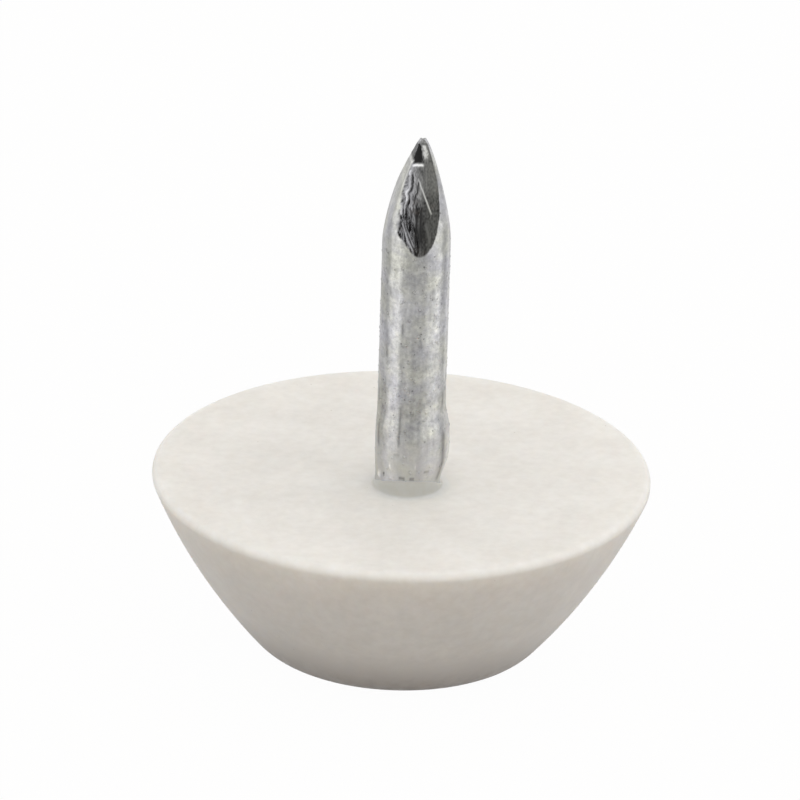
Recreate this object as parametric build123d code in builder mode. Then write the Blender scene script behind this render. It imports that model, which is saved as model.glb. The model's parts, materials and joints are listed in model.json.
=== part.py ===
from build123d import *
from math import cos, radians, sin
import os

# A nail-on furniture glide: a solid plastic foot moulded round the head of a steel nail.
# Millimetres. The origin is the centre of the face that slides on the floor, and +Z points
# up the nail. The nail is driven into the end of a chair leg until the top face meets the wood.

# Foot: a solid of revolution, wide at the leg and narrow at the floor
foot_radius = 11.15  # where the flank would meet the top face without its rounded rim
foot_height = 8.1
base_radius = 6.0  # where the flank would meet the floor without its rounded edge
flank_bow = 0.43  # how far the flank bulges past a straight line
floor_edge_radius = 1.65
rim_radius = 0.3

# Collar: the low ring of plastic that is left standing round the nail
collar_radius = 1.75
collar_front_height = 0.8
collar_back_height = 0.15

# Nail: a cut wire nail whose head lies inside the foot
nail_radius = 1.5
nail_stands_out = 16.5  # from the top face of the foot to the tip
nail_offset_x = 0.35  # the nail stands a little off the middle of the foot
nail_offset_y = -1.35
head_radius = 3.4
head_thickness = 1.0
head_depth = 5.2  # from the top face of the foot down to the top of the nail's head
head_neck_height = 0.6  # the cone that joins the head to the shank
grip_radius = 1.62  # the shank is a little swollen where the heading dies grip it
grip_rise = 2.2  # from the top face of the foot up to where the swelling ends
grip_taper = 0.5  # from there up to the plain shank
grip_mark_count = 3  # the rings that the dies press into the swelling, inside the foot
grip_mark_depth = 0.07
grip_mark_width = 0.3
grip_mark_pitch = 1.2
grip_mark_cover = 0.7  # from the top face of the foot down to the highest mark

# Point: two deep sheared faces, two shallow side faces and the rounded ridges between them
point_length = 5.1
point_turn = 6.0  # degrees that the sheared faces are turned about the nail
point_lean = 0.2  # how far the tip lies to one side of the nail's axis
tip_radius = 0.26
ridge_bow = 0.32
side_face_start = 1.56
side_face_tip = 0.13
side_face_bow = 0.17
sheared_face_tip = 0.12
sheared_face_bow = 0.05

# Levels that follow from the sizes above
tip_level = foot_height + nail_stands_out
point_level = tip_level - point_length
neck_top_level = foot_height - head_depth + head_neck_height
head_top_level = foot_height - head_depth
head_bottom_level = head_top_level - head_thickness
grip_level = foot_height + grip_rise
top_mark_level = foot_height - grip_mark_cover

# The nail's own planes: one faces along its sheared faces, the other along its side faces
nail_foot = (nail_offset_x, nail_offset_y, 0)
turn = radians(point_turn)
along_side = (cos(turn), sin(turn), 0)
along_shear = (sin(turn), -cos(turn), 0)
shear_plane = Plane(origin=nail_foot, x_dir=along_side, z_dir=along_shear)
side_plane = Plane(origin=nail_foot, x_dir=along_shear, z_dir=(-cos(turn), -sin(turn), 0))
nail_axis = Axis(nail_foot, (0, 0, 1))


def outline_between(plane, start, tip, bow, lean=0):
    """The nail's outline in a plane in which two opposite faces of the point are seen edge-on."""
    beyond = head_radius + nail_radius
    with BuildSketch(plane) as outline:
        with BuildLine():
            right = SagittaArc((start, point_level), (lean + tip, tip_level), -bow)
            left = SagittaArc((-start, point_level), (lean - tip, tip_level), bow)
            Line(left @ 1, right @ 1)
            Polyline(
                right @ 0,
                (beyond, point_level),
                (beyond, head_bottom_level),
                (-beyond, head_bottom_level),
                (-beyond, point_level),
                left @ 0,
            )
        make_face()
    return outline.sketch


side_faces = outline_between(
    shear_plane, side_face_start, side_face_tip, side_face_bow, lean=point_lean
)
sheared_faces = outline_between(side_plane, nail_radius, sheared_face_tip, sheared_face_bow)


with BuildPart() as nail:
    # Head, neck and shank are headed and drawn round, and so are the ridges of the point
    with BuildSketch(shear_plane):
        with BuildLine():
            shank = Polyline(
                (0, head_bottom_level),
                (head_radius, head_bottom_level),
                (head_radius, head_top_level),
                (grip_radius, neck_top_level),
                (grip_radius, grip_level),
                (nail_radius, grip_level + grip_taper),
                (nail_radius, point_level),
            )
            ridge = SagittaArc(shank @ 1, (tip_radius, tip_level), -ridge_bow)
            Polyline(ridge @ 1, (0, tip_level), shank @ 0)
        make_face()
        # Grip marks, shallow V-shaped rings that hold the wire in the plastic
        for mark in range(grip_mark_count):
            level = top_mark_level - mark * grip_mark_pitch
            with BuildLine():
                Polyline(
                    (grip_radius, level - grip_mark_width / 2),
                    (grip_radius - grip_mark_depth, level),
                    (grip_radius, level + grip_mark_width / 2),
                    close=True,
                )
            make_face(mode=Mode.SUBTRACT)
    revolve(axis=nail_axis)
    # The cutters then trim the point to its faces
    extrude(side_faces, amount=2 * head_radius, both=True, mode=Mode.INTERSECT)
    extrude(sheared_faces, amount=2 * head_radius, both=True, mode=Mode.INTERSECT)

with BuildPart() as collar:
    with BuildSketch(Plane(origin=(nail_offset_x, nail_offset_y, foot_height))):
        Circle(collar_radius)
    extrude(amount=2 * collar_front_height)
    # A leaning cut leaves the ring highest in front
    collar_top = Plane(
        origin=(nail_offset_x, nail_offset_y - collar_radius, foot_height + collar_front_height),
        z_dir=(0, collar_front_height - collar_back_height, 2 * collar_radius),
    )
    split(bisect_by=collar_top, keep=Keep.BOTTOM)

with BuildPart() as foot:
    with BuildSketch(Plane.XZ) as foot_section:
        with BuildLine():
            floor_line = Line((0, 0), (base_radius, 0))
            flank = SagittaArc(floor_line @ 1, (foot_radius, foot_height), -flank_bow)
            Polyline(flank @ 1, (0, foot_height), (0, 0))
        make_face()
        fillet(foot_section.vertices().sort_by(Axis.X)[-1], radius=rim_radius)
        floor_corners = foot_section.vertices().group_by(Axis.Y)[0]
        fillet(floor_corners.sort_by(Axis.X)[-1], radius=floor_edge_radius)
    revolve(axis=Axis.Z)

    # The collar stands on the top face, round the nail
    add(collar.part)

    # The plastic is moulded round the nail, so its hollow is the nail itself
    add(nail.part, mode=Mode.SUBTRACT)

nail.part.label = "nail"
foot.part.label = "foot"

os.makedirs("parts", exist_ok=True)
export_step(nail.part, "parts/nail.step")
export_step(foot.part, "parts/foot.step")
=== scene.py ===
import json
import math

import bpy
from mathutils import Matrix, Quaternion, Vector, noise


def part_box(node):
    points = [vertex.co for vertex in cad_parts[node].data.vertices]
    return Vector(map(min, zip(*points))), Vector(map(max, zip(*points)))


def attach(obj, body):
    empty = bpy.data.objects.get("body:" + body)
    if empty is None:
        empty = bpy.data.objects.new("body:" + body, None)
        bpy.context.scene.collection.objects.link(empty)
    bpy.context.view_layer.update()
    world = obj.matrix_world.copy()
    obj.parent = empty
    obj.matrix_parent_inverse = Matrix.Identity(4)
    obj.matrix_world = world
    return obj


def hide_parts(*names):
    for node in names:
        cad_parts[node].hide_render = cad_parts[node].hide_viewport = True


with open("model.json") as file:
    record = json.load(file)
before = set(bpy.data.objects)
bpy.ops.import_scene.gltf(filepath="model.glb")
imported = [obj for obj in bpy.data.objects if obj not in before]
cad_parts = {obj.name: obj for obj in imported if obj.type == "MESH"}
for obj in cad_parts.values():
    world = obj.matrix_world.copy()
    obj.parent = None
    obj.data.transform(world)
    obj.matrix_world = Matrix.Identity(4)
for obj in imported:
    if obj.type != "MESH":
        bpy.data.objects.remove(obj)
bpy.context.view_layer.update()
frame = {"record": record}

# A nail-on furniture glide, in metres. The foot and the nail are drawn again here on the
# outlines of the solids, so that they can carry their moulding, zinc and shear marks.
MM = 0.001

# Places that the frame gives
MOUNTS = {mount["name"]: mount for mount in frame["record"]["mounts"]}
TOP_LEVEL = MOUNTS["seat_face"]["pos_m"][2]
NAIL_X, NAIL_Y = MOUNTS["nail_shank"]["pos_m"][:2]
NAIL_AXIS = Vector((NAIL_X, NAIL_Y, 0))
NAIL_RADIUS = MOUNTS["nail_shank"]["dims"]["r_mm"] * MM
COLLAR_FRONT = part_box("foot")[1].z - TOP_LEVEL
HEAD_BOTTOM, TIP_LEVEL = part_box("nail")[0].z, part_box("nail")[1].z
HEAD_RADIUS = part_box("nail")[1].x - NAIL_X

# Foot
FOOT_RADIUS = 11.15 * MM
BASE_RADIUS = 6.0 * MM
FLANK_BOW = 0.43 * MM
FLOOR_EDGE_RADIUS = 1.65 * MM
RIM_RADIUS = 0.3 * MM
COLLAR_RADIUS = 1.58 * MM
COLLAR_SIDE = 0.2 * MM  # its height beside the nail
COLLAR_DROP = 0.7  # share of that height which is missing on the right
COLLAR_WAVE, COLLAR_WAVE_PITCH = 0.05 * MM, 0.45 * MM
# The lip at the collar's top edge is left mostly out of the darker collar colour, as a painted
# highlight along its rim
LIP_START, LIP_BLEND, LIP_HIGHLIGHT_SHARE = 0.93, 0.06, 0.8
# Below this height the plastic is painted darker towards the floor, as painted shade
FLOOR_SHADE_HEIGHT = 3.2 * MM
SINK_DEPTH = 0.05 * MM  # the top face has sunk a little beside the collar
SINK_WIDTH = 0.7 * MM
# Painted shade on the top face beside the collar, stronger on the right
SINK_PAINTED_SHADE = 0.22
FOOT_STEPS = 288
FOOT_PITCH = 0.24 * MM
MOULD_WAVE = 0.01 * MM
MOULD_PITCH, FINE_MOULD_PITCH = 3.5 * MM, 1.3 * MM

# Nail
HEAD_THICKNESS = 1.0 * MM
NECK_HEIGHT = 0.6 * MM
GRIP_RADIUS = 1.62 * MM
GRIP_MARK_COUNT = 3
GRIP_MARK_PITCH = 1.2 * MM
GRIP_MARK_DEPTH = 0.07 * MM
GRIP_MARK_WIDTH = 0.3 * MM
TOP_MARK_LEVEL = TOP_LEVEL - 0.7 * MM
SWELL_LOW, SWELL_LOW_TAPER = TOP_LEVEL + 0.1 * MM, 1.6 * MM
SWELL_HIGH, SWELL_HIGH_TAPER = TOP_LEVEL + 4.0 * MM, 1.4 * MM
SWELL_HEIGHT = 0.13 * MM
SWELL_RIGHT = 0.6  # the swelling is this share higher on the right and lower on the left
ROOT_PINCH = 0.16 * MM  # the root lies this far inward on the right
PINCH_LOW_TAPER = 0.3 * MM
PINCH_HIGH, PINCH_HIGH_TAPER = TOP_LEVEL + 1.8 * MM, 1.6 * MM
PALE_ROOT_LOW, PALE_ROOT_HIGH = TOP_LEVEL + 1.4 * MM, TOP_LEVEL + 3.3 * MM
PALE_ROOT_SHARE, PALE_ROOT_VALUE = 0.6, 0.65
SHANK_PITCH = 0.1 * MM
ZINC_WAVE = 0.012 * MM
ZINC_PITCH, FINE_ZINC_PITCH = 0.9 * MM, 0.3 * MM
ZINC_START = 1.2 * MM  # the waves of the zinc grow up to this height above the top face
GRAIN_DENSITY = 5.0 / MM**2
GRAIN_SMALLEST, GRAIN_LARGEST = 0.03 * MM, 0.09 * MM
GRAIN_FLATNESS = 0.3
GRAIN_SEED = 4

# Point: two sheared faces, two side faces and the round ridges between them
POINT_LENGTH = 5.1 * MM
POINT_LEVEL = TIP_LEVEL - POINT_LENGTH
POINT_TURN = math.radians(6.0)
POINT_LEAN = 0.2 * MM
RIDGE_LEAN = 0.85  # share of that lean which the round ridges take
POINT_PITCH = 0.035 * MM
TIP_RADIUS, RIDGE_BOW = 0.30 * MM, 0.32 * MM
SIDE_START, SIDE_TIP, SIDE_BOW = 1.56 * MM, 0.16 * MM, 0.17 * MM
SHEARED_TIP, SHEARED_BOW = 0.12 * MM, 0.05 * MM
EDGE_ROUNDING = 0.012 * MM

# Forms on the sheared faces, in millimetres across them and up from where they start
DARK_CENTRE, DARK_SIZE, DARK_SHARE = (-0.02, 1.05), (0.32, 1.0), 0.75
BITE_CENTRE, BITE_SIZE, BITE_DEPTH = (-0.95, 1.25), (0.3, 0.55), 0.16
LEDGE_RISE, LEDGE_WIDTH = 4.03, 0.045
LEDGE_CENTRE, LEDGE_REACH = -0.08, 0.31
CAP_RISE = 4.93
RECESS_LEFT, RECESS_RIGHT, RECESS_SLANT, RECESS_DEPTH = -0.36, 0.04, 0.16, 0.085
BURR_PLACE, BURR_WIDTH, BURR_HEIGHT = 0.17, 0.085, 0.03
BURR_LOW, BURR_HIGH = 4.15, 4.88
TORN_RISE, CRUMB_RISE, CRUMB_SIZE = 4.22, 4.13, 0.06

# Brightness of the bare steel there, from 0 to 1, with painted shade in the recess and painted
# highlights on the ledge, the burr and the left edge
STEEL_TONE, LEFT_TONE, RIGHT_TONE = 0.085, 0.12, 0.06
RECESS_SHADE_TONE, BESIDE_RECESS_TONE, CAP_TONE = 0.02, 0.14, 0.24
LEDGE_HIGHLIGHT_TONE, BURR_HIGHLIGHT_TONE, EDGE_HIGHLIGHT_TONE, TIP_TONE = 1.0, 0.7, 0.6, 0.3

# Strokes on the front sheared face, in the same millimetres:
# from, to, width, height and brightness; the brightness is painted light and shade, pale on raised
# strokes and dark on sunken ones
SHEAR_MARKS_AND_LIGHT = (
    ((-0.07, 3.42), (0.5, 1.92), 0.03, 0.035, 0.6),
    ((-0.84, 1.5), (-0.3, 0.35), 0.03, 0.03, 0.5),
    ((-0.7, 1.45), (-0.2, 0.25), 0.03, -0.03, 0.02),
    ((-0.62, 1.35), (-0.24, 0.5), 0.025, 0.03, 0.35),
    ((-0.33, 3.9), (-0.72, 1.9), 0.035, 0.03, 0.55),
    ((-0.26, 3.7), (-0.6, 2.0), 0.035, -0.03, 0.03),
    ((-0.16, 3.75), (-0.42, 2.2), 0.03, 0.03, 0.4),
    ((-0.05, 3.3), (-0.3, 1.9), 0.03, -0.03, 0.04),
    ((-0.12, 2.4), (-0.16, 0.6), 0.05, -0.03, 0.02),
    ((0.06, 2.2), (0.0, 0.5), 0.04, -0.02, 0.03),
    ((0.25, 1.5), (0.45, 0.7), 0.05, 0.02, 0.12),
    ((-0.36, 3.8), (-0.43, 3.58), 0.05, 0.02, 0.85),
    ((-0.5, 3.0), (-0.57, 2.5), 0.045, 0.03, 0.8),
    ((-0.8, 2.45), (-0.85, 1.9), 0.04, 0.03, 0.7),
)

# Marks on the shank, and painted shade and highlights on it, in millimetres round it from the front
# and up from the top face:
# from, to, width, height and how much brighter or darker
SHANK_MARKS_AND_LIGHT = (
    # A dark line down the right side: painted shade along a faint groove
    ((1.5, 2.9), (1.53, 1.3), 0.11, -0.005, -0.45),
    ((1.54, 1.4), (1.51, 0.55), 0.11, -0.005, -0.45),
    ((2.0, 2.9), (1.95, 1.0), 0.16, 0.0, 0.35),
    ((-1.75, 3.2), (-1.66, 2.1), 0.09, -0.005, -0.45),
    ((-0.47, 4.3), (-0.5, 2.4), 0.06, -0.01, -0.4),
    ((-0.7, 1.97), (-0.45, 1.97), 0.06, -0.01, -0.3),
    # Dark dashes just above the collar: painted shade in the gap between the nail and the collar
    ((-0.46, 0.87), (-0.2, 0.86), 0.06, 0.0, -0.7),
    ((0.0, 0.86), (0.2, 0.86), 0.06, 0.0, -0.7),
    # A bead at the left corner, made lighter as a painted highlight
    ((-1.68, 0.74), (-1.46, 0.75), 0.14, 0.06, 0.7),
    ((-1.28, 0.86), (-1.22, 0.88), 0.12, -0.04, -0.9),
    ((1.7, 4.75), (1.7, 4.1), 0.07, -0.01, -0.45),
    ((-1.9, 4.75), (-1.88, 4.15), 0.06, -0.01, -0.35),
    ((-0.92, 1.36), (-0.85, 1.38), 0.1, 0.03, 0.5),
    ((0.2, 1.47), (0.25, 1.47), 0.09, 0.02, 0.35),
    ((0.6, 1.2), (0.85, 1.17), 0.06, 0.0, -0.4),
    ((-0.22, 11.62), (-0.18, 11.66), 0.07, -0.04, -0.75),
    ((1.35, 9.3), (1.37, 9.27), 0.08, -0.03, -0.5),
    ((-1.31, 6.8), (-1.31, 6.45), 0.06, -0.02, -0.4),
    ((-0.5, 8.3), (-0.5, 7.7), 0.05, -0.01, -0.35),
    ((1.34, 6.08), (1.37, 6.05), 0.07, -0.03, -0.5),
    ((-1.22, 9.9), (-1.2, 9.5), 0.06, -0.01, -0.35),
    ((1.5, 8.03), (1.52, 7.98), 0.09, 0.03, 0.35),
)

# Bands along the shank, partly streaks that the drawing die left and partly painted reflections and
# shade: degrees from the front and brightness
ZINC_BANDS_AND_REFLECTIONS = (
    (-180, 0.5), (-150, 0.62), (-120, 0.45), (-90, 0.48), (-72, 0.42), (-50, 0.40),
    (-43, 0.62), (-28, 0.74), (-20, 0.43), (2, 0.37), (16, 0.41), (24, 0.54), (44, 0.66),
    (52, 0.48), (62, 0.44), (70, 0.54), (90, 0.5), (125, 0.66), (155, 0.42), (180, 0.5),
)

# Colours
DULL_PLASTIC, PALE_PLASTIC = (0.775, 0.74, 0.683, 1), (0.865, 0.835, 0.782, 1)
SPECK_COLOUR = (0.40, 0.34, 0.27, 1)
# Colour of the collar's wall: thin plastic over the steel, together with painted shade
THIN_SKIN_AND_SHADE_COLOUR = (0.73, 0.68, 0.57, 1)
# Colour of the painted shade towards the floor
FLOOR_SHADE_COLOUR = (0.28, 0.235, 0.20, 1)
RUST_COLOUR = (0.16, 0.13, 0.11, 1)
FLOOR_COLOUR = (0.26, 0.235, 0.215, 1)

# Studio
ROOM_AT_HORIZON, ROOM_ABOVE, ROOM_HORIZON_TOP = 2.07, 0.66, 0.6
FLOOR_GLOW, FLOOR_GLOW_SHARE = 1.05, 0.93
LAMP_PLACE, LAMP_SIZE, LAMP_ENERGY = (0.24, -0.06, 0.5), 0.8, 0.7

# Camera: a long lens, looking down a little, with the picture slightly rolled
CAMERA_ELEVATION, CAMERA_ROLL = math.radians(24.32), math.radians(1.72)
CAMERA_DISTANCE = 666 * MM
PICTURE_PIXELS, PIXELS_PER_MM = 800, 22.68
AIM_LEFT, AIM_UP = 1.6, 70.0  # pixels from the centre of the top face
SENSOR_WIDTH = 36


def arc_between(start, end, bow, count):
    """Points of an arc from start to end that bulges to the right of the way by bow."""
    chord = Vector(end) - Vector(start)
    radius = (chord.length**2 / 4 + bow**2) / (2 * bow)
    side = Vector((chord.y, -chord.x)).normalized()
    centre = (Vector(start) + Vector(end)) / 2 - side * (radius - bow)
    first = math.atan2(start[1] - centre.y, start[0] - centre.x)
    sweep = 2 * math.asin(chord.length / 2 / radius)
    angles = [first + sweep * i / count for i in range(count + 1)]
    return [(centre.x + radius * math.cos(a), centre.y + radius * math.sin(a)) for a in angles]


def evenly(start, end, pitch):
    """Points from start to end, no more than pitch apart, without the last one."""
    start, end = Vector(start), Vector(end)
    count = max(1, math.ceil((end - start).length / pitch))
    return [tuple(start.lerp(end, i / count)) for i in range(count)]


def rounded(before, corner, after, radius, count=10):
    """An arc of this radius that touches the two lines that meet in the corner."""
    corner = Vector(corner)
    inward = (Vector(before) - corner).normalized()
    outward = (Vector(after) - corner).normalized()
    half = inward.angle(outward) / 2
    reach = radius / math.tan(half)
    start, end = corner + inward * reach, corner + outward * reach
    centre = corner + (inward + outward).normalized() * radius / math.sin(half)
    first, sweep = start - centre, (start - centre).angle_signed(end - centre)
    turns = [Matrix.Rotation(-sweep * i / count, 2) for i in range(count + 1)]
    points = [tuple(centre + turn @ first) for turn in turns]
    return points, reach


def smooth_step(value):
    """0 to 1 without a corner at either end."""
    value = min(1.0, max(0.0, value))
    return value * value * (3 - 2 * value)


def wave(point, pitch, seed=0.0):
    """A smooth random height from -1 to 1, with swells about one pitch apart."""
    place = Vector(point) / pitch
    return noise.noise(place + Vector((seed, 2 * seed, 3 * seed)))


def turned_mesh(name, rings, material):
    """A closed mesh from rings of points, with a pole at each end."""
    steps = len(rings[0])
    verts = [tuple(point) for ring in rings for point in ring]
    faces = []
    for row in range(len(rings) - 1):
        a, b = row * steps, (row + 1) * steps
        for i in range(steps):
            j = (i + 1) % steps
            faces.append((a + i, a + j, b + j, b + i))
    for ring, first, order in ((rings[0], 0, -1), (rings[-1], (len(rings) - 1) * steps, 1)):
        pole = sum((Vector(p) for p in ring), Vector()) / steps
        verts.append(tuple(pole))
        for i in range(steps):
            j = (i + 1) % steps
            faces.append((first + i, first + j, len(verts) - 1)[::order])
    mesh = bpy.data.meshes.new(name)
    mesh.from_pydata(verts, [], faces)
    mesh.polygons.foreach_set("use_smooth", [True] * len(faces))
    mesh.materials.append(material)
    piece = bpy.data.objects.new(name, mesh)
    bpy.context.scene.collection.objects.link(piece)
    return piece


def add_shares(piece, name, values):
    """A value for each point of a mesh, for its material and its nodes to read."""
    shares = piece.data.attributes.new(name, "FLOAT", "POINT")
    shares.data.foreach_set("value", values)


def head_outline():
    """Radius and level of the nail from the centre of its head's underside to the top face."""
    neck_bottom = HEAD_BOTTOM + HEAD_THICKNESS
    neck_top = neck_bottom + NECK_HEIGHT
    outline = evenly((0.05 * MM, HEAD_BOTTOM), (HEAD_RADIUS, HEAD_BOTTOM), 0.4 * MM)
    outline += evenly((HEAD_RADIUS, HEAD_BOTTOM), (HEAD_RADIUS, neck_bottom), 0.3 * MM)
    outline += evenly((HEAD_RADIUS, neck_bottom), (GRIP_RADIUS, neck_top), 0.3 * MM)
    outline.append((GRIP_RADIUS, neck_top))
    for count_down in reversed(range(GRIP_MARK_COUNT)):
        middle = TOP_MARK_LEVEL - count_down * GRIP_MARK_PITCH
        mark = [
            (GRIP_RADIUS, middle - GRIP_MARK_WIDTH / 2),
            (GRIP_RADIUS - GRIP_MARK_DEPTH, middle),
            (GRIP_RADIUS, middle + GRIP_MARK_WIDTH / 2),
        ]
        outline += evenly(outline[-1], mark[0], 0.3 * MM)[1:] + mark
    return outline + evenly(outline[-1], (NAIL_RADIUS, TOP_LEVEL), SHANK_PITCH)[1:]


def foot_body():
    """Radius and level from the centre of the floor face, up the flank and round the rim."""
    floor_end, rim = (BASE_RADIUS, 0), (FOOT_RADIUS, TOP_LEVEL)
    flank = arc_between(floor_end, rim, FLANK_BOW, 60)
    floor_edge, floor_reach = rounded((0, 0), floor_end, flank[9], FLOOR_EDGE_RADIUS, 14)
    rim_edge, rim_reach = rounded(flank[-4], rim, (0, TOP_LEVEL), RIM_RADIUS, 12)
    outline = evenly((0.05 * MM, 0), floor_edge[0], 0.5 * MM) + floor_edge
    for point in flank:
        from_floor = (Vector(point) - Vector(floor_end)).length
        from_rim = (Vector(point) - Vector(rim)).length
        if from_floor > floor_reach * 1.05 and from_rim > rim_reach * 1.4:
            outline.append(point)
    return outline + rim_edge


def collar_outline():
    """Radius and share of the collar's height, from its foot to its inner edge at the nail."""
    wall = COLLAR_RADIUS
    return [
        (wall + 0.12 * MM, 0.0),
        (wall + 0.05 * MM, 0.02),
        (wall + 0.015 * MM, 0.1),
        (wall, 0.3),
        (wall, 0.55),
        (wall, 0.8),
        (wall - 0.01 * MM, 0.93),
        (wall - 0.03 * MM, 0.99),
        (NAIL_RADIUS + 0.035 * MM, 1.0),
        (NAIL_RADIUS + 0.012 * MM, 0.95),
        (NAIL_RADIUS, 0.8),
    ]


def pinched(spoke, level):
    """How far the root of the nail and its collar lie inward on the right-hand side."""
    low = smooth_step((level - TOP_LEVEL + PINCH_LOW_TAPER) / PINCH_LOW_TAPER)
    high = smooth_step((PINCH_HIGH - level) / PINCH_HIGH_TAPER)
    return ROOT_PINCH * max(0.0, spoke.x) * low * high


def collar_height(angle):
    """The collar is highest in front, where the plastic crept up the nail, and uneven."""
    forward = -math.sin(angle)
    side = COLLAR_SIDE * (1 - COLLAR_DROP * max(0.0, math.cos(angle)))
    height = side + (COLLAR_FRONT - side) * max(0.0, forward) ** 1.2
    spoke = Vector((math.cos(angle), math.sin(angle), 0))
    return height - COLLAR_WAVE * abs(wave(spoke * COLLAR_RADIUS, COLLAR_WAVE_PITCH, 5.0))


def make_foot(material):
    """The moulded foot with its collar and the hollow that the nail fills."""
    body, collar = foot_body(), collar_outline()
    start, end = body[-1][0], collar[0][0]
    rows = [(radius, level, 0.0, 0.0) for radius, level in body]
    near = end + 3 * SINK_WIDTH
    face = evenly((start, 0), (near, 0), FOOT_PITCH) + evenly((near, 0), (end, 0), FOOT_PITCH / 3)
    for radius, _ in face[1:]:
        rows.append((radius, TOP_LEVEL, (start - radius) / (start - end), 0.0))
    rows += [(radius, TOP_LEVEL, 1.0, share) for radius, share in collar]
    rows += [(radius, level, 1.0, 0.0) for radius, level in head_outline()[::-1]]
    rings, skins_and_shade = [], []
    for radius, level, off_centre, lift in rows:
        on_flank = smooth_step(level / MM) * (off_centre == 0.0)
        ring = []
        for i in range(FOOT_STEPS):
            angle = math.tau * i / FOOT_STEPS
            spoke = Vector((math.cos(angle), math.sin(angle), 0))
            point = NAIL_AXIS * off_centre + spoke * radius
            point.z = level + lift * collar_height(angle)
            swell = abs(wave(point, MOULD_PITCH)) + 0.5 * abs(wave(point, FINE_MOULD_PITCH))
            swell = MOULD_WAVE * swell
            point -= spoke * pinched(spoke, point.z) * (off_centre == 1.0)
            from_collar = max(0.0, (point - NAIL_AXIS).xy.length - COLLAR_RADIUS)
            shade = math.exp(-((from_collar / SINK_WIDTH) ** 2))
            shade *= smooth_step(0.45 + 0.8 * math.cos(angle))
            if 0.0 < off_centre < 1.0:
                point.z -= swell + SINK_DEPTH * shade
            point -= spoke * swell * on_flank
            ring.append(point)
            # Share of the darker collar colour: on the collar's wall it is partly thin plastic over
            # the steel and partly painted shade
            on_lip = smooth_step((lift - LIP_START) / LIP_BLEND)
            # The lip at the top edge stays pale, a painted highlight
            skin = smooth_step(lift * 20) * (1 - LIP_HIGHLIGHT_SHARE * on_lip)
            # On the top face beside the collar the share is painted shade, stronger on the right
            skins_and_shade.append(skin if lift else SINK_PAINTED_SHADE * shade * (off_centre > 0))
        rings.append(ring)
    piece = turned_mesh("moulded_foot", rings, material)
    add_shares(piece, "thin_skin", skins_and_shade + [0.0, 0.0])
    return piece


def soft_min(values, rounding):
    """The smallest value, with the corners between the faces rounded off."""
    low = min(values)
    total = sum(math.exp((low - value) / rounding) for value in values)
    return low - rounding * math.log(total)


def nearness(across, rise, start, end, width):
    """1 on the mark from start to end, and falling to 0 beside it and past its ends."""
    way = Vector(end) - Vector(start)
    place = Vector((across, rise)) - Vector(start)
    along = place.dot(way) / way.length_squared
    aside = (place - way * min(1.0, max(0.0, along))).length
    taper = smooth_step(along * 4 + 0.5) * smooth_step((1 - along) * 4 + 0.5)
    return math.exp(-((aside / width) ** 2)) * taper


def patch(across, rise, centre, size):
    """1 in the middle of an oval patch, and falling to 0 round it."""
    aside, upward = (across - centre[0]) / size[0], (rise - centre[1]) / size[1]
    return math.exp(-(aside**2) - upward**2)


def sheared_surface(across, rise, front):
    """Relief in millimetres and brightness of a sheared face, at this place on it; the brightness
    is dark bare steel with painted shade in the grooves and painted highlights on the ridges.
    """
    left = smooth_step(0.45 - across * 1.6)
    seed = 0.0 if front else 7.0
    jags = noise.noise(Vector((across * 1.5, rise * 2.6, 11.0 + seed)))
    jags += 0.4 * noise.noise(Vector((across * 3.0, rise * 8.0, 13.0 + seed)))
    across_mark = across + 0.09 * left * jags * smooth_step(rise - 1.1)
    wide = noise.noise(Vector((across_mark * 5.0 + 0.5 * rise, rise * 0.8, seed)))
    fine = noise.noise(Vector((across_mark * 12.0 + rise * 0.9, rise * 1.8, 3.0 + seed)))
    grit = noise.noise(Vector((across * 16.0, rise * 9.0, 5.0 + seed)))
    relief = 0.03 * wide + (0.005 + 0.02 * left) * fine + 0.008 * grit
    tone = STEEL_TONE + LEFT_TONE * left * smooth_step((rise - 1.6) / 1.2)
    tone += RIGHT_TONE * (1 - left) * smooth_step((rise - 2.5) / 0.6)
    # Painted light and shade: the brightness follows the relief, lighter on its ridges and darker
    # in its grooves
    tone += (0.02 + 0.2 * left) * fine + (0.04 + 0.15 * left) * wide + 0.07 * grit
    tone += left * (0.3 * max(0.0, 1 - 7 * abs(fine)) - 0.15 * max(0.0, 1 - 7 * abs(wide)))
    tone *= 1 - DARK_SHARE * patch(across, rise, DARK_CENTRE, DARK_SIZE)
    if front:
        relief, tone = front_marks_and_light(across, rise, across_mark, grit, relief, tone)
    return relief, min(1.0, max(0.0, tone))


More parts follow.
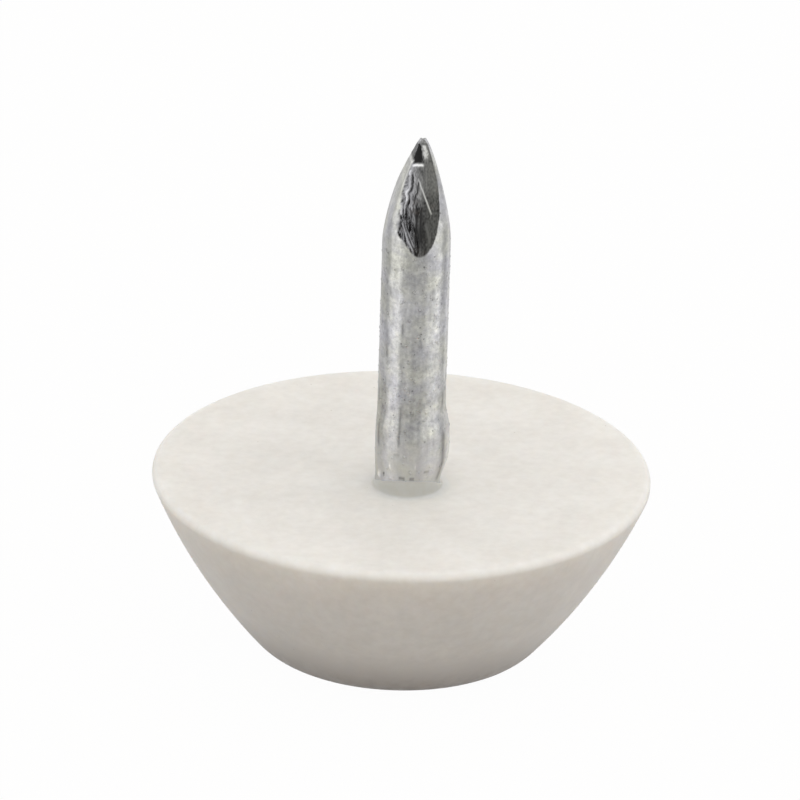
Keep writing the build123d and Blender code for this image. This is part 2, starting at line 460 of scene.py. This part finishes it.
def front_marks_and_light(across, rise, across_mark, grit, relief, tone):
    """Relief and brightness of the front sheared face with its bite, strokes, ledge and burr, with
    painted light and shade on the strokes, painted shade in the recess and painted highlights on
    the ledge and the burr.
    """
    relief -= BITE_DEPTH * patch(across, rise, BITE_CENTRE, BITE_SIZE)
    for start, end, width, height, brightness in SHEAR_MARKS_AND_LIGHT:
        near = nearness(across_mark, rise, start, end, width)
        relief += height * near
        # Painted light and shade along each stroke
        tone += (brightness - tone) * near
    slant = RECESS_SLANT * (CAP_RISE - rise)
    jag = noise.noise(Vector((rise * 6.0, across * 2.0, 17.0)))
    above_ledge = smooth_step((rise - LEDGE_RISE) / 0.05)
    right_edge = RECESS_RIGHT + slant + 0.06 * jag
    in_recess = above_ledge * smooth_step((CAP_RISE - rise) / 0.1)
    in_recess *= smooth_step((across - RECESS_LEFT) / 0.06)
    in_recess *= smooth_step((right_edge - across) / 0.07)
    relief -= RECESS_DEPTH * in_recess
    # Painted shade in the recess
    tone += (RECESS_SHADE_TONE - tone) * in_recess
    beside_recess = above_ledge * smooth_step((across - 0.05) / 0.1)
    tone += (BESIDE_RECESS_TONE + 0.1 * grit - tone) * beside_recess
    ledge_level = LEDGE_RISE - 0.03 - 0.05 * abs(across + 0.1)
    ledge_level += 0.02 * noise.noise(Vector((across * 9.0, 0.0, 19.0)))
    on_ledge = math.exp(-(((rise - ledge_level) / LEDGE_WIDTH) ** 2))
    on_ledge *= smooth_step((LEDGE_REACH - abs(across - LEDGE_CENTRE)) / 0.14)
    # Painted highlight along the ledge
    tone += (LEDGE_HIGHLIGHT_TONE - tone) * on_ledge
    on_cap = smooth_step((rise - CAP_RISE + 0.04) / 0.08)
    tone += (CAP_TONE + 0.15 * grit - tone) * on_cap
    on_burr = math.exp(-(((across - BURR_PLACE - slant + 0.12 * grit) / BURR_WIDTH) ** 2))
    on_burr *= smooth_step((rise - BURR_LOW) / 0.3) * smooth_step((BURR_HIGH - rise) / 0.1)
    # Painted highlight on the burr
    return relief + BURR_HEIGHT * on_burr, tone + (BURR_HIGHLIGHT_TONE - tone) * on_burr


def bent(start, end, bow, part):
    """A size that runs from start to end along the point and bulges by bow half-way."""
    return start + (end - start) * part + bow * 4 * part * (1 - part)


def point_place(angle, level):
    """A place on the point, whether it is sheared there, and its brightness there."""
    part = (level - POINT_LEVEL) / POINT_LENGTH
    centre = RIDGE_LEAN * POINT_LEAN * part
    across, away = math.cos(angle), math.sin(angle)
    ridge = bent(NAIL_RADIUS, TIP_RADIUS, RIDGE_BOW, part)
    to_ridge = -centre * across + math.sqrt(ridge**2 - (centre * away) ** 2)
    lean = math.copysign(POINT_LEAN, across)
    side = bent(SIDE_START, SIDE_TIP + lean, SIDE_BOW, part)
    to_side = (side - math.copysign(centre, across)) / max(abs(across), 1e-3)
    gap = bent(NAIL_RADIUS, SHEARED_TIP, SHEARED_BOW, part)
    to_shear = gap / max(abs(away), 1e-3)
    plain = soft_min((to_ridge, to_side), EDGE_ROUNDING)
    place = (centre + min(to_shear, plain) * across) / MM
    relief, tone = sheared_surface(place, (level - POINT_LEVEL) / MM, away < 0)
    to_shear = (gap + relief * MM * smooth_step(part * 6)) / max(abs(away), 1e-3)
    distance = soft_min((plain, to_shear), EDGE_ROUNDING)
    torn = 0.05 + 0.05 * wave((across * MM, away * MM, 0), 0.6 * MM)
    torn *= smooth_step((part - 0.96) / 0.04)
    spot = Vector((centre + distance * across, distance * away, level - torn * MM))
    turned = Matrix.Rotation(POINT_TURN, 3, "Z") @ spot
    depth = (plain - to_shear) / MM
    # Painted highlight along the left edge of the sheared face
    on_edge = smooth_step(1 - abs(depth - 0.01) / 0.04) * smooth_step(-across * 3)
    on_edge *= smooth_step(0.6 + 2.5 * noise.noise(Vector((part * 16, 0, 2.0 * away))))
    tone += (EDGE_HIGHLIGHT_TONE - tone) * on_edge * smooth_step(part * 4 - 0.5)
    return NAIL_AXIS + turned, smooth_step(depth / 0.03), tone


def torn_edge(angle, level):
    """Change of the zinc's brightness where it is torn off on the left of the tip."""
    rise = (level - POINT_LEVEL) / MM
    left = smooth_step(-3 * math.cos(angle))
    bare = smooth_step((rise - TORN_RISE) / 0.1) * smooth_step((CAP_RISE - rise) / 0.1)
    crumb = math.exp(-(((rise - CRUMB_RISE) / CRUMB_SIZE) ** 2))
    return left * (0.4 * crumb - 0.75 * bare)


def nail_angles():
    """Directions about the nail, closer together on the two sheared faces."""
    angles = []
    degrees = 0.0
    while degrees < 360.0:
        angles.append(math.radians(degrees))
        from_face = min(abs(degrees - 90.0), abs(degrees - 270.0))
        degrees += 1.0 if from_face < 45.0 else 3.0
    return angles


def zinc_lump(place):
    """The height of the zinc's waves at this place, as a share of the highest."""
    return wave(place, ZINC_PITCH) + 0.4 * wave(place, FINE_ZINC_PITCH)


def nail_spoke(angle):
    """The direction away from the nail's axis, turned as its sheared faces are."""
    return Vector((math.cos(angle + POINT_TURN), math.sin(angle + POINT_TURN), 0))


def shank_place(radius, level, angle):
    """A place on the shank, with the waves of its zinc and the swelling that the dies left."""
    spoke = nail_spoke(angle)
    place = NAIL_AXIS + spoke * (radius - pinched(spoke, level))
    place.z = level
    if level > TOP_LEVEL:
        clear = smooth_step((level - TOP_LEVEL) / ZINC_START)
        swelling = smooth_step((level - SWELL_LOW) / SWELL_LOW_TAPER)
        swelling *= smooth_step((SWELL_HIGH - level) / SWELL_HIGH_TAPER)
        place += spoke * SWELL_HEIGHT * swelling * (1 + SWELL_RIGHT * spoke.x)
        place += spoke * ZINC_WAVE * clear * zinc_lump(place)
    return place


def shank_mark_and_light(level, angle):
    """Relief and change of brightness that the marks and the painted shade and highlights give the
    shank at this place.
    """
    turned = angle + POINT_TURN + math.pi / 2
    around = NAIL_RADIUS / MM * ((turned + math.pi) % math.tau - math.pi)
    rise = (level - TOP_LEVEL) / MM
    relief = change = 0.0
    if 0.0 < rise:
        for start, end, width, height, brightness in SHANK_MARKS_AND_LIGHT:
            near = nearness(around, rise, start, end, width)
            relief += height * MM * near
            change += brightness * near
    return relief, change


def make_nail(material):
    """The headed, gripped, zinc-coated shank and its sheared point."""
    angles = nail_angles()
    outline = head_outline()
    outline += evenly((NAIL_RADIUS, TOP_LEVEL), (NAIL_RADIUS, POINT_LEVEL), SHANK_PITCH)
    rings, mark_and_light_changes = [], []
    for radius, level in outline:
        ring = []
        for angle in angles:
            relief, change = shank_mark_and_light(level, angle)
            ring.append(shank_place(radius + relief, level, angle))
            mark_and_light_changes.append(change)
        rings.append(ring)
    grainy = [float(level > TOP_LEVEL + COLLAR_FRONT) for _, level in outline for _ in angles]
    sheared = [0.0] * len(grainy)
    tones = list(sheared)
    count = round(POINT_LENGTH / POINT_PITCH)
    for row in range(count + 1):
        level = POINT_LEVEL + POINT_LENGTH * row / count
        places = [point_place(angle, level) for angle in angles]
        fade = 1 - smooth_step(row / count * 8)
        ring = []
        for angle, (place, share, tone) in zip(angles, places):
            ring.append(place + nail_spoke(angle) * ZINC_WAVE * zinc_lump(place) * fade)
            sheared.append(share)
            tones.append(tone)
            mark_and_light_changes.append(torn_edge(angle, level))
            grainy.append(fade * (share == 0.0))
        rings.append(ring)
    piece = turned_mesh("zinc_nail", rings, material)
    add_shares(piece, "sheared", sheared + [0.0, 1.0])
    add_shares(piece, "shear_tone", tones + [0.0, TIP_TONE])
    add_shares(piece, "marked", mark_and_light_changes + [0.0, 0.0])
    add_shares(piece, "grainy", grainy + [0.0, 0.0])
    return piece


def grain_tree():
    """Geometry nodes that scatter low, flat lumps over a piece where its grainy share allows."""
    tree = bpy.data.node_groups.new("zinc_grains", "GeometryNodeTree")
    sockets = {
        "Geometry": "NodeSocketGeometry",
        "Density": "NodeSocketFloat",
        "Smallest": "NodeSocketFloat",
        "Largest": "NodeSocketFloat",
        "Flatness": "NodeSocketFloat",
        "Seed": "NodeSocketInt",
        "Material": "NodeSocketMaterial",
    }
    for name, kind in sockets.items():
        tree.interface.new_socket(name, in_out="INPUT", socket_type=kind)
    tree.interface.new_socket("Geometry", in_out="OUTPUT", socket_type="NodeSocketGeometry")
    given = tree.nodes.new("NodeGroupInput").outputs
    share = add_node(tree, "GeometryNodeInputNamedAttribute", {"Name": "grainy"}).outputs[0]
    inputs = {
        "Mesh": given["Geometry"],
        "Density": maths(tree, "MULTIPLY", share, given["Density"]),
        "Seed": given["Seed"],
    }
    places = add_node(tree, "GeometryNodeDistributePointsOnFaces", inputs).outputs
    lump = add_node(tree, "GeometryNodeMeshUVSphere", {"Segments": 8, "Rings": 4, "Radius": 1.0})
    inputs = {"Min": given["Smallest"], "Max": given["Largest"], "Seed": given["Seed"]}
    across = add_random(tree, inputs)
    height = maths(tree, "MULTIPLY", across, given["Flatness"])
    scale = add_node(tree, "ShaderNodeCombineXYZ", {"X": across, "Y": across, "Z": height})
    inputs = {
        "Points": places["Points"],
        "Instance": lump.outputs["Mesh"],
        "Rotation": places["Rotation"],
        "Scale": scale.outputs[0],
    }
    lumps = add_node(tree, "GeometryNodeInstanceOnPoints", inputs).outputs[0]
    lumps = add_node(tree, "GeometryNodeRealizeInstances", {0: lumps}).outputs[0]
    lumps = add_node(tree, "GeometryNodeSetShadeSmooth", {"Geometry": lumps}).outputs[0]
    inputs = {"Geometry": lumps, "Material": given["Material"]}
    coated = add_node(tree, "GeometryNodeSetMaterial", inputs).outputs[0]
    tree.links.new(coated, tree.nodes.new("NodeGroupOutput").inputs[0])
    return tree


def make_grains(nail, material):
    """The small lumps that the zinc left on the shank, as a plain mesh of their own."""
    tree = grain_tree()
    carrier = bpy.data.objects.new("grain_carrier", nail.data)
    bpy.context.scene.collection.objects.link(carrier)
    scatter = carrier.modifiers.new("grains", "NODES")
    scatter.node_group = tree
    settings = {
        "Density": GRAIN_DENSITY,
        "Smallest": GRAIN_SMALLEST,
        "Largest": GRAIN_LARGEST,
        "Flatness": GRAIN_FLATNESS,
        "Seed": GRAIN_SEED,
        "Material": material,
    }
    for socket in tree.interface.items_tree:
        if socket.in_out == "INPUT" and socket.name in settings:
            scatter[socket.identifier] = settings[socket.name]
    shaped = carrier.evaluated_get(bpy.context.evaluated_depsgraph_get())
    mesh = bpy.data.meshes.new_from_object(shaped)
    bpy.data.objects.remove(carrier)
    grains = bpy.data.objects.new("zinc_grains", mesh)
    bpy.context.scene.collection.objects.link(grains)
    return grains


def add_node(tree, kind, inputs=(), **settings):
    """A node with its settings, and its inputs as values or links."""
    node = tree.nodes.new(kind)
    for name, value in settings.items():
        setattr(node, name, value)
    for key, value in dict(inputs).items():
        if isinstance(value, bpy.types.NodeSocket):
            tree.links.new(value, node.inputs[key])
        else:
            node.inputs[key].default_value = value
    return node


def maths(tree, operation, first, second=0.0, clamp=False):
    """The result of one sum on two values."""
    inputs = {0: first, 1: second}
    return add_node(tree, "ShaderNodeMath", inputs, operation=operation, use_clamp=clamp).outputs[0]


def add_random(tree, inputs):
    """A random number for each point."""
    node = add_node(tree, "FunctionNodeRandomValue", data_type="FLOAT")
    for socket in node.inputs:
        if socket.enabled and socket.name in inputs:
            tree.links.new(inputs[socket.name], socket)
    return next(socket for socket in node.outputs if socket.enabled)


def spread(tree, value, low, high, to_low=0.0, to_high=1.0):
    """The value drawn out from one range to another."""
    inputs = {"Value": value, "From Min": low, "From Max": high}
    inputs |= {"To Min": to_low, "To Max": to_high}
    return add_node(tree, "ShaderNodeMapRange", inputs).outputs[0]


def millimetres(tree, stretch=(1, 1, 1), centre=(0, 0, 0)):
    """The place on the piece in millimetres, drawn out along the axes."""
    place = add_node(tree, "ShaderNodeTexCoord").outputs["Object"]
    scale = tuple(share / MM for share in stretch)
    shift = tuple(-share * step for share, step in zip(scale, centre))
    inputs = {"Vector": place, "Location": shift, "Scale": scale}
    return add_node(tree, "ShaderNodeMapping", inputs).outputs[0]


def grain(tree, place, scale, detail=3.0, roughness=0.6):
    """Cloudy variation from 0 to 1, with this many swells to the millimetre."""
    inputs = {"Vector": place, "Scale": scale, "Detail": detail, "Roughness": roughness}
    return add_node(tree, "ShaderNodeTexNoise", inputs).outputs["Fac"]


def blend(tree, share, first, second):
    """One colour going over into another."""
    mix = add_node(tree, "ShaderNodeMix", data_type="RGBA")
    for key, value in (("Factor", share), (6, first), (7, second)):
        if isinstance(value, bpy.types.NodeSocket):
            tree.links.new(value, mix.inputs[key])
        else:
            mix.inputs[key].default_value = value
    return mix.outputs[2]


def grey(tree, value, warmth=0.0):
    """A grey of this brightness, a little warmer or cooler."""
    blue = maths(tree, "MULTIPLY", value, maths(tree, "SUBTRACT", 1.0, warmth))
    inputs = {"Red": value, "Green": value, "Blue": blue}
    return add_node(tree, "ShaderNodeCombineColor", inputs).outputs[0]


def new_material(name):
    """An empty node material with its Principled shader."""
    material = bpy.data.materials.new(name)
    material.use_nodes = True
    tree = material.node_tree
    return material, tree, tree.nodes["Principled BSDF"]


def plastic_material():
    """Off-white satin plastic, faintly clouded and specked, darker on the collar as thin skin and
    painted shade, and darker towards the floor as painted shade.
    """
    material, tree, shader = new_material("off_white_plastic")
    place = millimetres(tree)
    clouds = grain(tree, place, 0.4)
    patches = grain(tree, place, 2.2, detail=4.0)
    cloudy = maths(tree, "MULTIPLY", clouds, 0.5)
    cloudy = maths(tree, "ADD", cloudy, maths(tree, "MULTIPLY", patches, 0.5))
    body = blend(tree, spread(tree, cloudy, 0.35, 0.65), DULL_PLASTIC, PALE_PLASTIC)
    cells = add_node(tree, "ShaderNodeTexVoronoi", {"Vector": place, "Scale": 1.1})
    chosen = maths(tree, "GREATER_THAN", cells.outputs["Color"], 0.7)
    speck = spread(tree, cells.outputs["Distance"], 0.05, 0.02)
    speck = maths(tree, "MULTIPLY", speck, chosen)
    speck = maths(tree, "MULTIPLY", speck, 0.5)
    body = blend(tree, speck, body, SPECK_COLOUR)
    # The collar's wall is darker, partly as thin plastic over the steel and partly as painted
    # shade, and the top face beside it carries painted shade
    skin_and_shade_share = add_node(tree, "ShaderNodeAttribute", attribute_name="thin_skin").outputs["Fac"]
    skin_and_shade_share = maths(tree, "MULTIPLY", skin_and_shade_share, spread(tree, patches, 0.3, 0.7, 0.75, 1.15), clamp=True)
    body = blend(tree, skin_and_shade_share, body, THIN_SKIN_AND_SHADE_COLOUR)
    level = add_node(tree, "ShaderNodeSeparateXYZ", {0: place}).outputs["Z"]
    # Painted shade: the plastic grows darker towards the floor
    floor_shade = maths(tree, "POWER", spread(tree, level, FLOOR_SHADE_HEIGHT / MM, 0.0), 1.4)
    floor_shade = maths(tree, "MULTIPLY", floor_shade, spread(tree, patches, 0.3, 0.7, 0.75, 0.95))
    body = blend(tree, floor_shade, body, FLOOR_SHADE_COLOUR)
    tree.links.new(body, shader.inputs["Base Color"])
    tree.links.new(spread(tree, patches, 0.3, 0.7, 0.38, 0.52), shader.inputs["Roughness"])
    shader.inputs["Specular IOR Level"].default_value = 0.25
    shader.inputs["Subsurface Weight"].default_value = 0.6
    shader.inputs["Subsurface Radius"].default_value = (1.0, 0.85, 0.7)
    shader.inputs["Subsurface Scale"].default_value = 1.4 * MM
    skin = grain(tree, place, 7.0, detail=5.0)
    inputs = {"Height": skin, "Strength": 0.25, "Distance": 0.01 * MM}
    bump = add_node(tree, "ShaderNodeBump", inputs)
    tree.links.new(bump.outputs[0], shader.inputs["Normal"])
    return material


def die_streaks_and_reflections(tree):
    """The broad pale and dull bands along the wire, partly streaks that the drawing die left and
    partly painted reflections and shade.
    """
    centred = millimetres(tree, centre=NAIL_AXIS)
    sides = add_node(tree, "ShaderNodeSeparateXYZ", {0: centred})
    toward = maths(tree, "MULTIPLY", sides.outputs["Y"], -1.0)
    angle = maths(tree, "ARCTAN2", sides.outputs["X"], toward)
    wander = spread(tree, grain(tree, centred, 1.2, detail=4.0), 0.0, 1.0, -0.16, 0.16)
    share = spread(tree, maths(tree, "ADD", angle, wander), -math.pi, math.pi)
    ramp = add_node(tree, "ShaderNodeValToRGB", {"Fac": share})
    stops = ramp.color_ramp.elements
    while len(stops) < len(ZINC_BANDS_AND_REFLECTIONS):
        stops.new(0.5)
    for stop, (degrees, brightness) in zip(stops, ZINC_BANDS_AND_REFLECTIONS):
        stop.position = degrees / 360 + 0.5
        stop.color = (brightness, brightness, brightness, 1)
    return ramp.outputs["Color"]


def zinc_material():
    """Dull, mottled zinc with lengthwise streaks and painted reflections, and bare dark steel with
    painted light and shade where it is sheared.
    """
    material, tree, shader = new_material("zinc_coated_steel")
    place = millimetres(tree)
    mottle = grain(tree, place, 1.6, detail=5.0, roughness=0.7)
    fine = grain(tree, place, 5.0, detail=3.0, roughness=0.7)
    streaks = grain(tree, millimetres(tree, (1, 1, 0.12)), 3.5, detail=3.0, roughness=0.6)
    crystals = add_node(tree, "ShaderNodeTexVoronoi", {"Vector": place, "Scale": 3.2})
    spangle = add_node(tree, "ShaderNodeSeparateColor", {0: crystals.outputs["Color"]}).outputs[0]
    # Painted reflections and shade in bands round the shank, together with die streaks
    value = add_node(tree, "ShaderNodeSeparateColor", {0: die_streaks_and_reflections(tree)}).outputs[0]
    variations = (
        (mottle, 0.76, 1.24),
        (fine, 0.74, 1.26),
        (streaks, 0.84, 1.16),
        (spangle, 0.95, 1.05),
    )
    for variation, low, high in variations:
        value = maths(tree, "MULTIPLY", value, spread(tree, variation, 0.25, 0.75, low, high))
    spots = add_node(tree, "ShaderNodeTexVoronoi", {"Vector": place, "Scale": 2.6})
    dirt = maths(tree, "MULTIPLY", spread(tree, spots.outputs["Distance"], 0.14, 0.08), 0.45)
    value = maths(tree, "MULTIPLY", value, maths(tree, "SUBTRACT", 1.0, dirt))
    beside = add_node(tree, "ShaderNodeSeparateXYZ", {0: millimetres(tree, centre=NAIL_AXIS)})
    low, high = PALE_ROOT_LOW / MM, PALE_ROOT_HIGH / MM
    pale = spread(tree, beside.outputs["Z"], high, low, 0.0, PALE_ROOT_SHARE)
    pale = maths(tree, "MULTIPLY", pale, maths(tree, "SUBTRACT", PALE_ROOT_VALUE, value))
    value = maths(tree, "ADD", value, pale)
    # Brightness changes from the marks, and painted shade and highlights
    marked = add_node(tree, "ShaderNodeAttribute", attribute_name="marked").outputs["Fac"]
    value = maths(tree, "MULTIPLY", value, maths(tree, "ADD", 1.0, marked))
    zinc = grey(tree, value, spread(tree, grain(tree, place, 0.8), 0.35, 0.65, -0.05, 0.08))
    sheared = add_node(tree, "ShaderNodeAttribute", attribute_name="sheared").outputs["Fac"]
    tone = add_node(tree, "ShaderNodeAttribute", attribute_name="shear_tone").outputs["Fac"]
    bare = grey(tree, tone, spread(tree, beside.outputs["X"], -0.3, 0.5, -0.04, 0.07))
    rust = blend(tree, spread(tree, mottle, 0.55, 0.7), bare, RUST_COLOUR)
    steel = blend(tree, 0.25, bare, rust)
    tree.links.new(blend(tree, sheared, zinc, steel), shader.inputs["Base Color"])
    shader.inputs["Metallic"].default_value = 0.85
    rough = spread(tree, maths(tree, "ADD", mottle, fine), 0.7, 1.3, 0.34, 0.5)
    tree.links.new(rough, shader.inputs["Roughness"])
    relief = maths(tree, "ADD", mottle, streaks)
    relief = maths(tree, "ADD", relief, maths(tree, "MULTIPLY", fine, 0.5))
    inputs = {"Height": relief, "Strength": 0.5, "Distance": 0.03 * MM}
    bump = add_node(tree, "ShaderNodeBump", inputs)
    tree.links.new(bump.outputs[0], shader.inputs["Normal"])
    return material


def seen_ray(tree):
    """1 for rays that show the background: camera, glossy and transmission rays."""
    path = add_node(tree, "ShaderNodeLightPath").outputs
    seen = maths(tree, "MAXIMUM", path["Is Camera Ray"], path["Is Glossy Ray"])
    return maths(tree, "MAXIMUM", seen, path["Is Transmission Ray"])


def make_floor():
    """A wide pale floor that takes the soft shadow, and shows white behind the object."""
    bpy.ops.mesh.primitive_plane_add(size=4.0, location=(0, 0, 0))
    floor = bpy.context.object
    floor.name = "floor"
    material, tree, shader = new_material("white_floor")
    shader.inputs["Base Color"].default_value = FLOOR_COLOUR
    shader.inputs["Roughness"].default_value = 0.9
    shader.inputs["Specular IOR Level"].default_value = 0.0
    glow = add_node(tree, "ShaderNodeEmission", {"Strength": FLOOR_GLOW})
    share = maths(tree, "MULTIPLY", seen_ray(tree), FLOOR_GLOW_SHARE)
    inputs = {0: share, 1: shader.outputs[0], 2: glow.outputs[0]}
    mix = add_node(tree, "ShaderNodeMixShader", inputs)
    tree.links.new(mix.outputs[0], tree.nodes["Material Output"].inputs[0])
    floor.data.materials.append(material)


def make_lamp(name, place, size, energy):
    """A round soft lamp that faces the glide."""
    lamp = bpy.data.lights.new(name, "AREA")
    lamp.shape = "DISK"
    lamp.size = size
    lamp.energy = energy
    holder = bpy.data.objects.new(name, lamp)
    holder.location = place
    holder.rotation_euler = (-Vector(place)).to_track_quat("-Z", "Y").to_euler()
    bpy.context.scene.collection.objects.link(holder)


def make_lights():
    """A soft white room, lighter at its walls than above, and one broad lamp overhead."""
    world = bpy.data.worlds.new("studio")
    bpy.context.scene.world = world
    world.use_nodes = True
    tree = world.node_tree
    background = tree.nodes["Background"]
    background.inputs["Color"].default_value = (1, 1, 1, 1)
    way = add_node(tree, "ShaderNodeTexCoord").outputs["Generated"]
    upward = add_node(tree, "ShaderNodeSeparateXYZ", {0: way}).outputs["Z"]
    room = spread(tree, upward, 0.0, ROOM_HORIZON_TOP, ROOM_AT_HORIZON, ROOM_ABOVE)
    shown = maths(tree, "SUBTRACT", 1.0, seen_ray(tree))
    change = maths(tree, "MULTIPLY", shown, maths(tree, "SUBTRACT", room, 1.0))
    strength = maths(tree, "ADD", 1.0, change)
    tree.links.new(strength, background.inputs["Strength"])
    make_lamp("overhead", LAMP_PLACE, LAMP_SIZE, LAMP_ENERGY)


def make_camera():
    """The photograph's view of the glide."""
    look_at = Vector((0, 0, TOP_LEVEL))
    camera = bpy.data.objects.new("camera", bpy.data.cameras.new("camera"))
    camera.data.sensor_width = SENSOR_WIDTH
    camera.data.lens = PIXELS_PER_MM * CAMERA_DISTANCE / MM / PICTURE_PIXELS * SENSOR_WIDTH
    camera.data.dof.use_dof = False
    camera.data.clip_start = 0.01
    back = Vector((0, -math.cos(CAMERA_ELEVATION), math.sin(CAMERA_ELEVATION)))
    camera.location = look_at + back * CAMERA_DISTANCE
    level_view = (-back).to_track_quat("-Z", "Y")
    turned = level_view @ Quaternion((0, 0, 1), CAMERA_ROLL)
    right, up = turned @ Vector((1, 0, 0)), turned @ Vector((0, 1, 0))
    pixel = MM / PIXELS_PER_MM
    aim = look_at - right * AIM_LEFT * pixel + up * AIM_UP * pixel
    swing = back.rotation_difference(camera.location - aim)
    camera.rotation_euler = (swing @ turned).to_euler()
    bpy.context.scene.collection.objects.link(camera)
    bpy.context.scene.camera = camera
    bpy.context.scene.view_settings.view_transform = "Standard"


make_camera()
make_floor()
make_lights()
foot = make_foot(plastic_material())
zinc = zinc_material()
nail = make_nail(zinc)
grains = make_grains(nail, zinc)
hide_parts("foot")
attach(foot, "root")
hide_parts("nail")
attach(nail, "root")
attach(grains, "root")
